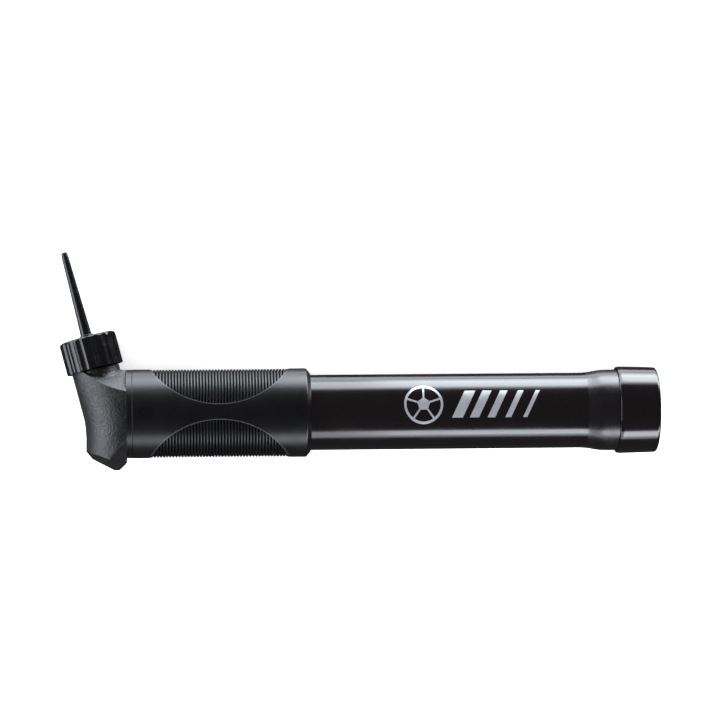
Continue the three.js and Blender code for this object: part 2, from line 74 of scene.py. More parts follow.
# A turned piece is modelled along +Z: this lays it along the barrel.
along_barrel = pump_place @ Matrix.Rotation(math.radians(90), 4, "Y")
outlet_point = Vector(joints["nut_turn"]["pos_m"])
OUTLET_OFFSET = HEAD_JOINT_X - outlet_point.x
along_outlet = (
    pump_place
    @ Matrix.Translation((-OUTLET_OFFSET, 0, 0))
    @ Matrix.Rotation(lean, 4, "Z")
    @ Matrix.Rotation(math.radians(-90), 4, "X")
)
print(f"roll {math.degrees(roll):.2f}, lean {math.degrees(lean):.2f} degrees")


def barrel_span(node):
    """Where a node on the barrel's axis starts and ends, in mm from the head joint."""
    low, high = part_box(node)
    return (low[0] - HEAD_JOINT_X) / MM, (high[0] - HEAD_JOINT_X) / MM


# %% [markdown]
# Most pieces of a pump are round, so they are turned: a half outline is drawn by extruding
# one vertex from point to point, and Spin carries it once round. The alternative, stacking
# cylinders, leaves hidden faces inside. A moulded edge is never quite sharp, so each
# corner of the outline can be eased by a small arc before the outline is drawn.

# %% Helpers for turned pieces
def only(piece):
    """Leaves one object selected and active."""
    if bpy.context.object and bpy.context.object.mode != "OBJECT":
        bpy.ops.object.mode_set(mode="OBJECT")
    bpy.ops.object.select_all(action="DESELECT")
    piece.select_set(True)
    bpy.context.view_layer.objects.active = piece
    return piece


def eased(corners, steps=4):
    """Outline of (height, radius, easing) corners in mm, each corner rounded by an arc."""
    outline = []
    count = len(corners)
    for i, (height, radius, easing) in enumerate(corners):
        here = Vector((height, radius))
        if easing == 0:
            outline.append(here)
            continue
        before = Vector(corners[i - 1][:2]) - here
        after = Vector(corners[(i + 1) % count][:2]) - here
        start = here + before.normalized() * min(easing, before.length / 2)
        end = here + after.normalized() * min(easing, after.length / 2)
        for step in range(steps + 1):
            t = step / steps
            outline.append(start * (1 - t) ** 2 + here * 2 * t * (1 - t) + end * t * t)
    return [(point.x, point.y) for point in outline]


def turned(name, outline, sides=128, closed=True):
    """Spins an outline of (height, radius) in mm about Z. A closed outline makes a ring."""
    bpy.ops.object.select_all(action="DESELECT")
    bpy.ops.mesh.primitive_plane_add(size=MM)
    piece = bpy.context.object
    piece.name = piece.data.name = name
    bpy.ops.object.mode_set(mode="EDIT")
    bpy.ops.mesh.select_all(action="SELECT")
    bpy.ops.mesh.merge(type="CENTER")
    first = Vector((outline[0][1], 0, outline[0][0])) * MM
    bpy.ops.transform.translate(value=first)
    path = list(outline[1:]) + ([outline[0]] if closed else [])
    here = first
    for height, radius in path:
        there = Vector((radius, 0, height)) * MM
        bpy.ops.mesh.extrude_region_move(TRANSFORM_OT_translate={"value": there - here})
        here = there
    bpy.ops.mesh.select_all(action="SELECT")
    bpy.ops.mesh.remove_doubles(threshold=1e-6)
    bpy.ops.mesh.spin(steps=sides, angle=math.tau, center=(0, 0, 0), axis=(0, 0, 1))
    bpy.ops.mesh.select_all(action="SELECT")
    bpy.ops.mesh.remove_doubles(threshold=2e-6)
    bpy.ops.mesh.normals_make_consistent(inside=False)
    bpy.ops.object.mode_set(mode="OBJECT")
    return piece


def set_down(piece, place):
    """Puts a modelled piece in its place for good: the place ends up in its mesh."""
    only(piece)
    piece.matrix_world = place @ piece.matrix_world
    bpy.ops.object.transform_apply(location=True, rotation=True, scale=True)
    return piece


def smooth(piece, degrees=35):
    """Smooth shading that keeps the real edges and lets large faces stay flat."""
    only(piece)
    bpy.ops.object.shade_smooth_by_angle(angle=math.radians(degrees))
    weigh = piece.modifiers.new("weigh", "WEIGHTED_NORMAL")
    weigh.keep_sharp = True
    bpy.ops.object.modifier_apply(modifier=weigh.name)
    return piece


def carve(piece, tool, operation="DIFFERENCE"):
    """A boolean with a second object, applied at once."""
    only(piece)
    cut = piece.modifiers.new("cut", "BOOLEAN")
    cut.operation = operation
    cut.solver = "EXACT"
    cut.object = tool
    bpy.ops.object.modifier_apply(modifier=cut.name)
    bpy.data.objects.remove(tool)
    return piece


def ease_edges(piece, width, segments, angle):
    """Rounds the edges that are sharper than an angle, as a mould does (mm, degrees)."""
    only(piece)
    ease = piece.modifiers.new("ease", "BEVEL")
    ease.width = width * MM
    ease.segments = segments
    ease.limit_method = "ANGLE"
    ease.angle_limit = math.radians(angle)
    bpy.ops.object.modifier_apply(modifier=ease.name)


def report(piece):
    """Prints what was made."""
    size = ", ".join(f"{value / MM:.1f}" for value in piece.dimensions)
    print(f"{piece.name}: {len(piece.data.polygons)} faces, {size} mm")


# %% [markdown]
# A material starts from what the real one is. All the outside here is black plastic, so the
# difference between the pieces is the mould's surface: polished steel gives the tube and
# the cap their mirror gloss, a spark-eroded mould gives the head its fine grain, and the
# grip comes from a blasted mould. Two small helpers write a colour and add a node.

# %% Helpers for materials
def linear(code):
    """An sRGB hex colour as linear RGBA."""
    levels = [int(code[i:i + 2], 16) / 255 for i in (0, 2, 4)]
    return [
        level / 12.92 if level <= 0.04045 else ((level + 0.055) / 1.055) ** 2.4
        for level in levels
    ] + [1.0]


def add(owner, kind, settings=None, **sockets):
    """Adds a node to a material or a world. An input is a value or another node's output."""
    node = owner.node_tree.nodes.new(kind)
    for name, value in (settings or {}).items():
        setattr(node, name, value)
    for name, value in sockets.items():
        key = int(name[1:]) if name[1:].isdigit() else name.replace("_", " ")
        if isinstance(value, bpy.types.NodeSocket):
            owner.node_tree.links.new(value, node.inputs[key])
        else:
            node.inputs[key].default_value = value
    return node


def plastic(name, code, roughness, ior=1.5):
    """A plain shader with its even values, ready for its pattern."""
    material = bpy.data.materials.new(name)
    material.use_nodes = True
    shader = material.node_tree.nodes["Principled BSDF"]
    shader.inputs["Base Color"].default_value = linear(code)
    shader.inputs["Roughness"].default_value = roughness
    shader.inputs["IOR"].default_value = ior
    return material, shader


def vary(material, shader, scale_mm, low, high, detail=3.0):
    """Roughness that drifts between two values over patches of a real size."""
    place = add(material, "ShaderNodeTexCoord")
    noise = add(material, "ShaderNodeTexNoise", Vector=place.outputs["Object"],
                Scale=1 / (scale_mm * MM), Detail=detail)
    spread = add(material, "ShaderNodeMapRange", Value=noise.outputs["Fac"],
                 From_Min=0.3, From_Max=0.7, To_Min=low, To_Max=high)
    material.node_tree.links.new(spread.outputs["Result"], shader.inputs["Roughness"])
    return place


def grain(material, shader, place, scale_mm, height_mm, strength, previous=None):
    """A fine bump of noise with its grains a real size apart."""
    noise = add(material, "ShaderNodeTexNoise", Vector=place.outputs["Object"],
                Scale=1 / (scale_mm * MM), Detail=2.0, Roughness=0.6)
    sockets = {"Normal": previous.outputs["Normal"]} if previous else {}
    bump = add(material, "ShaderNodeBump", Height=noise.outputs["Fac"],
               Distance=height_mm * MM, Strength=strength, **sockets)
    material.node_tree.links.new(bump.outputs["Normal"], shader.inputs["Normal"])
    return bump


def dress(piece, material, body, slot, *nodes):
    """Gives a finished piece its material and its body, and hides the nodes it stands for. The slot is not used.
    """
    piece.data.materials.clear()
    piece.data.materials.append(material)
    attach(piece, body)
    if nodes:
        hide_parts(*nodes)
    report(piece)


# %% [markdown]
# The tube is black ABS with a polished surface: nearly a mirror, so it shows the studio
# lights as long clean bands. Its only pattern is a very faint drift of the gloss and a
# long shallow wave from moulding, which bends those bands a little.

# %% Polished tube plastic
polished_abs, shader = plastic("polished_black_abs", "0c0a0b", 0.16)
place = vary(polished_abs, shader, 14, 0.13, 0.19)
grain(polished_abs, shader, place, 9, 0.03, 0.25)

# %% [markdown]
# Beside the cap the same tube is wider and duller, because this stretch came out of the
# mould with a light orange peel.

# %% Orange peel on the flare
peeled_abs, shader = plastic("orange_peel_black_abs", "0d0b0c", 0.24)
place = vary(peeled_abs, shader, 5, 0.2, 0.3)
grain(peeled_abs, shader, place, 2.4, 0.05, 0.5)

# %% [markdown]
# The cap is a separate polished moulding, a touch brighter in its gloss.

# %% Polished cap plastic
cap_abs, shader = plastic("polished_black_cap_abs", "0c0a0b", 0.12)
place = vary(cap_abs, shader, 10, 0.1, 0.15)
grain(cap_abs, shader, place, 6, 0.02, 0.2)

# %% [markdown]
# The grip is satin polypropylene. Its surface breaks the light into a wide soft band, and
# its fine pits shade one another, so its specular level is set a little low. The real grain
# is too fine to show from this far, so it is drawn coarser, about 0.3 mm.

# %% Satin grip plastic
satin_pp, shader = plastic("satin_black_polypropylene", "060607", 0.32, 1.49)
shader.inputs["Specular IOR Level"].default_value = 0.4
place = vary(satin_pp, shader, 8, 0.29, 0.36)
grain(satin_pp, shader, place, 0.3, 0.012, 0.35)

# %% [markdown]
# The head is glass-filled nylon from a spark-eroded mould: dark grey rather than black,
# with a sandy grain. Two sizes of noise make it, a coarse one for the pits and a fine one
# that dulls the light. Both are drawn coarser than the real grain, so that they show.

# %% Spark-eroded head plastic
eroded_nylon, shader = plastic("spark_eroded_nylon", "080809", 0.46, 1.53)
place = vary(eroded_nylon, shader, 3, 0.4, 0.52)
pits = grain(eroded_nylon, shader, place, 0.7, 0.3, 0.9)
grain(eroded_nylon, shader, place, 0.28, 0.014, 0.4, pits)

# %% [markdown]
# Nut and needle are glossy black acetal from a polished mould. The gloss drifts a little
# over each face. The flutes shade one another, so the specular level is set a little low.

# %% Glossy nut and needle plastic
acetal, shader = plastic("glossy_black_acetal", "0a0a0b", 0.2, 1.48)
shader.inputs["Specular IOR Level"].default_value = 0.38
place = vary(acetal, shader, 3, 0.16, 0.3)
grain(acetal, shader, place, 0.8, 0.008, 0.15)

# %% [markdown]
# Inside the pump there is a drawn aluminium rod, plain steel, nitrile rubber and natural
# acetal. The rod shows when the barrel is pulled out: drawing leaves fine lines along it.

# %% Finishes of the mechanism
drawn_aluminium, shader = plastic("drawn_aluminium", "c9ccd0", 0.28)
shader.inputs["Metallic"].default_value = 1.0
place = add(drawn_aluminium, "ShaderNodeTexCoord")
stretched = add(drawn_aluminium, "ShaderNodeMapping", Vector=place.outputs["Object"],
                Scale=(0.02, 1.0, 1.0))
lines = add(drawn_aluminium, "ShaderNodeTexNoise", Vector=stretched.outputs["Vector"],
            Scale=1 / (0.5 * MM), Detail=3.0)
spread = add(drawn_aluminium, "ShaderNodeMapRange", Value=lines.outputs["Fac"],
             To_Min=0.2, To_Max=0.4)
drawn_aluminium.node_tree.links.new(spread.outputs["Result"], shader.inputs["Roughness"])

zinc_steel, shader = plastic("zinc_plated_steel", "a7abb0", 0.35)
shader.inputs["Metallic"].default_value = 1.0
vary(zinc_steel, shader, 1.5, 0.28, 0.45)

nitrile, shader = plastic("moulded_nitrile", "1b1b1c", 0.7, 1.52)
place = vary(nitrile, shader, 1, 0.6, 0.8)
grain(nitrile, shader, place, 0.4, 0.01, 0.4)

natural_acetal, shader = plastic("natural_acetal", "dcd9cf", 0.4, 1.48)
place = vary(natural_acetal, shader, 2, 0.34, 0.48)
grain(natural_acetal, shader, place, 0.6, 0.008, 0.3)

inner_finishes = {
    "rod_aluminium": drawn_aluminium,
    "screw_steel": zinc_steel,
    "seal_rubber": nitrile,
    "inner_plastic": natural_acetal,
}
for part in frame["record"]["subparts"]:
    if part["material_slot"] in inner_finishes:
        node = frame["nodes"][part["node"]]
        node.data.materials.clear()
        node.data.materials.append(inner_finishes[part["material_slot"]])
        print(part["node"], "is", inner_finishes[part["material_slot"]].name)

# %% [markdown]
# The barrel is one moulded tube: a long straight run, then a gentle slope up to the wider
# stretch beside the cap. It is turned as a thin ring, so the pulled-out pump shows a real
# wall at its open end. The flare takes its duller finish on its own faces.

# %% Barrel tube
BARREL_RADIUS = 12.5
BARREL_BORE = 11.3
FLARE_RADIUS = 13.45
FLARE_SLOPE = 5.0
FLARE_LENGTH = 7.3
barrel_start, barrel_end = barrel_span("barrel_tube")
flare_start = barrel_end - FLARE_LENGTH
tube = turned("barrel_tube_skin", eased([
    (barrel_start, BARREL_BORE, 0.2),
    (barrel_start, BARREL_RADIUS, 0.4),
    (flare_start - FLARE_SLOPE, BARREL_RADIUS, 2.0),
    (flare_start, FLARE_RADIUS, 2.0),
    (barrel_end, FLARE_RADIUS, 0.2),
    (barrel_end, BARREL_BORE, 0.2),
]), sides=160)
set_down(smooth(tube), along_barrel)
dress(tube, polished_abs, "barrel", "barrel_plastic", "barrel_tube")
tube.data.materials.append(peeled_abs)
slope_x = HEAD_JOINT_X + (flare_start - FLARE_SLOPE) * MM
for face in tube.data.polygons:
    if face.center.x > slope_x:
        face.material_index = 1

# %% [markdown]
# The cap is a cup pushed over the flare. A thin lip stands round its rim and a dark line
# shows between the lip and the tube, because the cup is a little wider than the flare.

# %% End cap
cap_start, cap_end = barrel_span("end_cap")
CAP_BORE = FLARE_RADIUS + 0.3
CAP_RIM = 14.47
CAP_TAPER = 0.3
cap = turned("end_cap_skin", eased([
    (cap_end - 2.0, 0.0, 0.0),
    (cap_end - 2.0, CAP_BORE, 0.3),
    (cap_start, CAP_BORE, 0.15),
    (cap_start, CAP_RIM - 0.2, 0.3),
    (cap_start + 1.1, CAP_RIM, 0.3),
    (cap_end, CAP_RIM - CAP_TAPER, 1.1),
    (cap_end, 3.0, 0.2),
    (cap_end - 0.25, 2.7, 0.2),
    (cap_end - 0.25, 0.0, 0.0),
], steps=6), sides=160, closed=False)
set_down(smooth(cap), along_barrel)
dress(cap, cap_abs, "barrel", "cap_plastic", "end_cap")

# %% [markdown]
# The grip is a sleeve with a smooth ring at each end and, between them, two leaf-shaped
# fields of fine ribs. Seen from the front the smooth skin narrows to a waist between the
# two fields. Each field's outline is where a large cylinder, standing square to the
# viewer, cuts the sleeve: so the field is made that way. A sleeve of ribs is cut to the
# leaf by that cylinder, and the same cylinder sinks a shallow bed for it in the skin.

# %% Grip sleeve
GRIP_RADIUS = 14.7
GRIP_BORE = 12.8
grip_start, grip_end = barrel_span("grip_sleeve")
RIB_PITCH = 1.018
RIB_START = 6.1
RIB_COUNT = 45
WAIST_HALF = 2.6
BED_DEPTH = 0.95
rib_end = RIB_START + RIB_COUNT * RIB_PITCH
rib_middle = (RIB_START + rib_end) / 2
rib_half = (rib_end - RIB_START) / 2
rise = GRIP_RADIUS - 0.1 - WAIST_HALF
LEAF_RADIUS = (rib_half ** 2 + rise ** 2) / (2 * rise)


def leaf_tool(side, radius):
    """The tall cylinder that cuts one field of ribs, in the upright place of the sleeve."""
    bpy.ops.object.select_all(action="DESELECT")
    bpy.ops.mesh.primitive_cylinder_add(vertices=192, radius=radius * MM, depth=0.06)
    tool = bpy.context.object
    centre = side * (WAIST_HALF + LEAF_RADIUS)
    tool.matrix_world = (
        Matrix.Translation((0, centre * MM, rib_middle * MM))
        @ Matrix.Rotation(math.radians(90), 4, "Y")
    )
    only(tool)
    bpy.ops.object.transform_apply(location=True, rotation=True, scale=True)
    return tool


sleeve = turned("grip_skin", eased([
    (grip_start, GRIP_BORE, 0.0),
    (grip_start, GRIP_RADIUS, 0.2),
    (grip_end - 1.33, GRIP_RADIUS, 0.3),
    (grip_end, GRIP_BORE + 0.25, 0.15),
    (grip_end, GRIP_BORE, 0.1),
]), sides=192)
for side in (-1, 1):
    bed = turned("bed", [
        (RIB_START, GRIP_RADIUS - BED_DEPTH), (RIB_START, GRIP_RADIUS + 2),
        (rib_end, GRIP_RADIUS + 2), (rib_end, GRIP_RADIUS - BED_DEPTH),
    ], sides=192)
    carve(bed, leaf_tool(side, LEAF_RADIUS), "INTERSECT")
    carve(sleeve, bed)

# %% [markdown]
# One rib is drawn as a rounded crest and a narrow groove, and the outline repeats it.

# %% Fields of ribs
RIB_CREST = GRIP_RADIUS - 0.1
RIB_GROOVE = GRIP_RADIUS - 0.7
RIB_FLOOR = GRIP_RADIUS - BED_DEPTH - 0.3
rib_line = [(RIB_START, RIB_FLOOR), (RIB_START, RIB_GROOVE)]
for index in range(RIB_COUNT):
    start = RIB_START + index * RIB_PITCH
    rib_line += [
        (start + 0.22 * RIB_PITCH, RIB_CREST - 0.12),
        (start + 0.34 * RIB_PITCH, RIB_CREST),
        (start + 0.66 * RIB_PITCH, RIB_CREST),
        (start + 0.78 * RIB_PITCH, RIB_CREST - 0.12),
        (start + RIB_PITCH, RIB_GROOVE),
    ]
rib_line += [(rib_end, RIB_FLOOR)]
fields = []
for side, name in ((1, "upper"), (-1, "lower")):
    field = turned(f"ribs_{name}", rib_line, sides=128)
    carve(field, leaf_tool(side, LEAF_RADIUS - 0.05), "INTERSECT")
    fields.append(field)

# %% [markdown]
# Marks and prints follow a round skin. The easy way to wrap a flat figure is to make it as
# an upright block and keep only what lies in a thin shell of the skin's own radius.

# %% Wrapping a figure on a round skin
def wrapped(block, radius, height, start, end, sides):
    """What a block has in common with a thin shell about the barrel's axis (mm)."""
    shell = turned("shell", [
        (start, radius - 0.02), (start, radius + height),
        (end, radius + height), (end, radius - 0.02),
    ], sides=sides)
    return carve(block, shell, "INTERSECT")


def joined(pieces, name):
    """Several modelled pieces as one object."""
    only(pieces[0])
    for piece in pieces[1:]:
        piece.select_set(True)
    if len(pieces) > 1:
        bpy.ops.object.join()
    pieces[0].name = pieces[0].data.name = name
    return pieces[0]


def facing(piece, angle, along):
    """Turns a block modelled on +Z so that it stands on the front of the skin, at an angle
    towards the needle side, and moves its middle along the barrel (mm)."""
    turn = (
        Matrix.Translation((0, 0, along * MM))
        @ Matrix.Rotation(math.radians(-angle), 4, "Z")
        @ Matrix.Rotation(math.radians(-90), 4, "Y")
    )
    return set_down(piece, turn)


# %% [markdown]
# On the smooth waist, near each end, stands a small round moulding mark. What the real
# marks show is too faint to tell, so plain rings stand for them.

# %% Moulding marks of the grip
MARK_RADIUS = 2.0
MARK_HALF_LINE = 0.25
MARK_HEIGHT = 0.2
MARK_PLACES = (4.6, 55.9)
marks = []
for mark_x in MARK_PLACES:
    ring = turned("mark", [
        (10, MARK_RADIUS - MARK_HALF_LINE), (10, MARK_RADIUS + MARK_HALF_LINE),
        (18, MARK_RADIUS + MARK_HALF_LINE), (18, MARK_RADIUS - MARK_HALF_LINE),
    ], sides=64)
    facing(ring, 0, mark_x)
    marks.append(wrapped(ring, GRIP_RADIUS, MARK_HEIGHT, mark_x - 4, mark_x + 4, 192))
grip = joined([sleeve] + fields + marks, "grip_sleeve_skin")
set_down(smooth(grip, 40), along_barrel)
dress(grip, satin_pp, "handle", "grip_plastic", "grip_sleeve")

# %% [markdown]
# The sharp moulded edge of each leaf catches the light in a line. That edge is rounded far
# more finely than this mesh, so its glint is a painted highlight: a narrow band wrapped on the
# skin, lighter and glossier than the plastic round it. The band is cut after it is wrapped,
# because two cylinders of the same length share their end faces and don't cut cleanly.

# %% Painted highlight on the leaf edges
# Painted highlight: a lighter, glossier colour stands in for the glint of the leaf edges.
painted_edge_highlight, shader = plastic("painted_edge_highlight_pp", "3c3e42", 0.3, 1.49)
vary(painted_edge_highlight, shader, 2, 0.24, 0.4)
RIM_WIDTH = 0.18
rims = []
for side in (-1, 1):
    rim = leaf_tool(side, LEAF_RADIUS + RIM_WIDTH)
    rim = wrapped(rim, GRIP_RADIUS, 0.02, RIB_START + 0.3, rib_end - 0.3, 192)
    rims.append(carve(rim, leaf_tool(side, LEAF_RADIUS - 0.03)))
rims = joined(rims, "grip_leaf_edges")
set_down(smooth(rims, 40), along_barrel)
dress(rims, painted_edge_highlight, "handle", "grip_plastic")

# %% [markdown]
# The head's big cheek is one leaning column with an oval section that bulges towards the
# nose. It starts as a circle low down and is extruded up in steps, each step scaled and
# shifted to the head's side line. Then flat cuts take the corners off, as the real mould
# does: Bisect drops the waste and fills the cut, so each facet is a clean flat face.

# %% Head: the column
HEAD_BACK = -1.5
COLUMN_CENTRE = -2.0
# Height above the barrel's axis, the nose's reach, and half the width across the cheeks.
COLUMN_STEPS = [
    (-20.0, -15.1, 13.6), (-12.5, -15.0, 13.7), (-8.0, -14.9, 13.75), (-4.0, -15.2, 13.75),
    (-1.0, -15.65, 13.75), (2.0, -16.35, 13.7), (5.0, -17.25, 13.6), (8.0, -18.1, 13.3),
    (11.0, -18.9, 12.6), (14.6, -19.85, 11.4),
]


def oval_column(steps):
    """Extrudes an oval ring through (height, nose, half width) steps in mm."""
    bpy.ops.object.select_all(action="DESELECT")
    height, nose, half = steps[0]
    bpy.ops.mesh.primitive_circle_add(vertices=128, radius=MM, fill_type="NGON")
    column = bpy.context.object
    column.name = column.data.name = "pump_head_skin"
    bpy.ops.object.mode_set(mode="EDIT")
    bpy.ops.mesh.select_all(action="SELECT")
    bpy.ops.transform.resize(value=(COLUMN_CENTRE - nose, half, 1), center_override=(0, 0, 0))
    bpy.ops.transform.translate(value=(COLUMN_CENTRE * MM, 0, height * MM))
    for next_height, next_nose, next_half in steps[1:]:
        up = {"value": (0, 0, (next_height - height) * MM)}
        bpy.ops.mesh.extrude_region_move(TRANSFORM_OT_translate=up)
        bpy.ops.transform.resize(
            value=((COLUMN_CENTRE - next_nose) / (COLUMN_CENTRE - nose), next_half / half, 1),
            center_override=(COLUMN_CENTRE * MM, 0, next_height * MM),
        )
        height, nose, half = next_height, next_nose, next_half
    bpy.ops.mesh.select_all(action="SELECT")
    bpy.ops.mesh.normals_make_consistent(inside=False)
    bpy.ops.object.mode_set(mode="OBJECT")
    # The column stood on Z: lay it so that its height is the needle's side, +Y.
    column.matrix_world = Matrix.Rotation(math.radians(-90), 4, "X")
    bpy.ops.object.transform_apply(location=False, rotation=True, scale=False)
    return column


def flat_cut(piece, point, normal):
    """Takes off all that lies beyond a plane (mm) and fills the cut."""
    only(piece)
    bpy.ops.object.mode_set(mode="EDIT")
    bpy.ops.mesh.select_all(action="SELECT")
    bpy.ops.mesh.bisect(
        plane_co=Vector(point) * MM, plane_no=Vector(normal).normalized(),
        use_fill=True, clear_outer=True,
    )
    bpy.ops.object.mode_set(mode="OBJECT")


head = oval_column(COLUMN_STEPS)
flat_cut(head, (HEAD_BACK, 0, 0), (1, 0, 0))
for front in (-1, 1):
    # Shoulder facet, from the cheek's slanting top edge back to the grip's shoulder.
    flat_cut(head, (-2.0, 6.97, front * 13.6), (0.158, 0.826, front * 0.541))
    # Underside, in two flats, and the tail's slope up to the grip.
    flat_cut(head, (-15.0, -12.3, 0), (-0.74, -0.62, front * 0.12))
    flat_cut(head, (-12.77, -14.87, 0), (-0.46, -0.87, front * 0.17))
    flat_cut(head, (-0.17, -14.87, 0), (1.0, -1.0, front * 0.53))
flat_cut(head, (-4.5, -18.6, 0), (0, -1, 0))

# %% [markdown]
# Moulded edges catch the light because they are slightly round. A Bevel modifier that only
# works on sharp angles rounds the facets' edges, before the neck is joined to the column.

# %% Head: soft edges, neck, shoulder and thread
ease_edges(head, 0.25, 3, 24)

NECK_RADIUS = 7.9
NECK_TOP = 15.2
THREAD_TOP = 21.2
THREAD_CORE = 6.0
THREAD_PITCH = 2.5
to_outlet = pump_place.inverted() @ along_outlet
neck = turned("neck", eased([
    (0.0, 0.0, 0.0), (0.0, NECK_RADIUS, 0.0), (NECK_TOP, NECK_RADIUS, 0.3),
    (NECK_TOP, THREAD_CORE, 0.2), (THREAD_TOP, THREAD_CORE, 0.4),
    (THREAD_TOP, 2.2, 0.2), (THREAD_TOP - 8, 2.2, 0.0), (THREAD_TOP - 8, 0.0, 0.0),
]), sides=128, closed=False)
set_down(neck, to_outlet)
SHOULDER_RADIUS = 14.62
# A skirt rounds the hollow corner between the neck and the facets beside it.
skirt = turned("skirt", [
    (6.0, 0.0), (6.0, 10.6), (9.0, 10.4), (9.9, 9.5), (10.9, 8.75), (12.0, 8.2),
    (13.4, 7.85), (13.4, 0.0),
], sides=128, closed=False)
set_down(skirt, to_outlet)
flat_cut(skirt, (-10.0, 0, 0), (-1, 0, 0))
flat_cut(skirt, (HEAD_BACK, 0, 0), (1, 0, 0))
shoulder = turned("shoulder", eased([
    (-1.7, 0.0, 0.0), (-1.7, SHOULDER_RADIUS, 0.1), (0.27, SHOULDER_RADIUS, 0.12),
    (0.27, 12.5, 0.0), (5.0, 12.5, 0.3), (5.0, 0.0, 0.0),
]), sides=160, closed=False)
set_down(shoulder, Matrix.Rotation(math.radians(90), 4, "Y"))
# The shoulder is a ring between the head and the grip, and shows wherever it stands out.
for joining in (neck, skirt, shoulder):
    carve(head, joining, "UNION")


def thread_ridge(foot, crest, top, turns, start_angle):
    """A ridge wound down the outlet by a Screw modifier, with its two ends filled."""
    bpy.ops.object.select_all(action="DESELECT")
    bpy.ops.mesh.primitive_plane_add(size=MM)
    ridge = bpy.context.object
    corners = [(foot, -0.9), (crest, -0.7), (crest, -0.2), (foot, 0.0)]
    order = [0, 1, 3, 2]
    for index, (radius, drop) in zip(order, corners):
        ridge.data.vertices[index].co = Vector((radius, 0, top + drop)) * MM
    bpy.ops.object.mode_set(mode="EDIT")
    bpy.ops.mesh.select_all(action="SELECT")
    bpy.ops.mesh.delete(type="ONLY_FACE")
    bpy.ops.object.mode_set(mode="OBJECT")
    wind = ridge.modifiers.new("wind", "SCREW")
    wind.angle = -turns * math.tau
    wind.screw_offset = -turns * THREAD_PITCH * MM
    wind.steps = wind.render_steps = int(turns * 48)
    bpy.ops.object.modifier_apply(modifier=wind.name)
    bpy.ops.object.mode_set(mode="EDIT")
    bpy.ops.mesh.select_all(action="SELECT")
    bpy.ops.mesh.fill_holes(sides=4)
    bpy.ops.mesh.select_all(action="SELECT")
    bpy.ops.mesh.normals_make_consistent(inside=False)
    bpy.ops.object.mode_set(mode="OBJECT")
    ridge.matrix_world = Matrix.Rotation(start_angle, 4, "Z")
    only(ridge)
    bpy.ops.object.transform_apply(location=True, rotation=True, scale=True)
    return ridge


ridge = thread_ridge(THREAD_CORE - 0.2, THREAD_CORE + 0.75, THREAD_TOP - 0.5, 1.5, 0)
set_down(ridge, to_outlet)
joined([head, ridge], "pump_head_skin")
set_down(smooth(head, 30), pump_place)
dress(head, eroded_nylon, "handle", "head_plastic", "pump_head")
# The shoulder ring carries on the grip's satin skin.
head.data.materials.append(satin_pp)
for face in head.data.polygons:
    across = (face.center.yz - spin_centre.yz).length / MM
    if face.center.x > HEAD_JOINT_X - 1.6 * MM and abs(across - SHOULDER_RADIUS) < 0.2:
        face.material_index = 1

# %% [markdown]
# The nut is a turned cup with a hole in its lid. Twenty shallow flutes run down its side.
# Twenty long cylinders stand round the nut and each cuts one flute by a boolean of its own,
# which leaves a narrow crest between each two.

# %% Needle nut
NUT_RADIUS = 9.52
NUT_START = NECK_TOP + 0.3
NUT_END = NUT_START + 10.8
NUT_LID = 1.7
NUT_BORE = 7.2
FLUTES = 20
FLUTE_DEPTH = 0.32
COLLAR_RADIUS = 2.2
half_flute = math.pi * NUT_RADIUS / FLUTES * 0.9
CUTTER_RADIUS = (half_flute ** 2 + FLUTE_DEPTH ** 2) / (2 * FLUTE_DEPTH)
nut = turned("needle_nut_skin", eased([
    (NUT_START, NUT_BORE, 0.2), (NUT_START, NUT_RADIUS, 0.35), (NUT_END, NUT_RADIUS, 1.3),
    (NUT_END, COLLAR_RADIUS + 0.1, 0.2), (NUT_END - NUT_LID, COLLAR_RADIUS + 0.1, 0.0),
    (NUT_END - NUT_LID, NUT_BORE, 0.0),
], steps=6), sides=240)
cutters = []
for index in range(FLUTES):
    angle = math.tau * index / FLUTES
    reach = (NUT_RADIUS - FLUTE_DEPTH + CUTTER_RADIUS) * MM
    bpy.ops.object.select_all(action="DESELECT")
    bpy.ops.mesh.primitive_cylinder_add(
        vertices=160, radius=CUTTER_RADIUS * MM, depth=30 * MM,
        location=(reach * math.cos(angle), reach * math.sin(angle), 20 * MM),
    )
    cutters.append(bpy.context.object)
for cutter in cutters:
    carve(nut, cutter)
nut_ridge = thread_ridge(NUT_BORE + 0.2, THREAD_CORE + 0.3, THREAD_TOP - 0.5, 1.5, math.pi)
joined([nut, nut_ridge], "needle_nut_skin")
set_down(smooth(nut, 25), along_outlet)
dress(nut, acetal, "nut", "nut_plastic", "needle_nut")

# %% [markdown]
# The needle is a slim taper with a fine hole through it, a flange under the nut's lid and
# a small collar where it leaves the nut.

# %% Needle
FLANGE_START = THREAD_TOP + 1.6
NEEDLE_END = NUT_END + 29.2
TIP_RADIUS = 1.1
ROOT_RADIUS = 1.8
BORE_RADIUS = 0.55
needle = turned("needle_skin", eased([
    (FLANGE_START, BORE_RADIUS, 0.0), (FLANGE_START, 6.0, 0.1),
    (FLANGE_START + 1.4, 6.0, 0.1), (FLANGE_START + 1.4, COLLAR_RADIUS, 0.1),
    (NUT_END + 0.8, COLLAR_RADIUS, 0.25), (NUT_END + 0.85, ROOT_RADIUS, 0.1),
    (NEEDLE_END - 2.0, TIP_RADIUS + 0.05, 0.6), (NEEDLE_END, TIP_RADIUS - 0.15, 0.5),
    (NEEDLE_END, BORE_RADIUS, 0.1),
]), sides=64)
set_down(smooth(needle), along_outlet)
dress(needle, acetal, "needle", "needle_plastic", "needle")

# %% [markdown]
# When the barrel is drawn out, the rod shows: a plain tube, with a hole across it through
# which the air comes in.

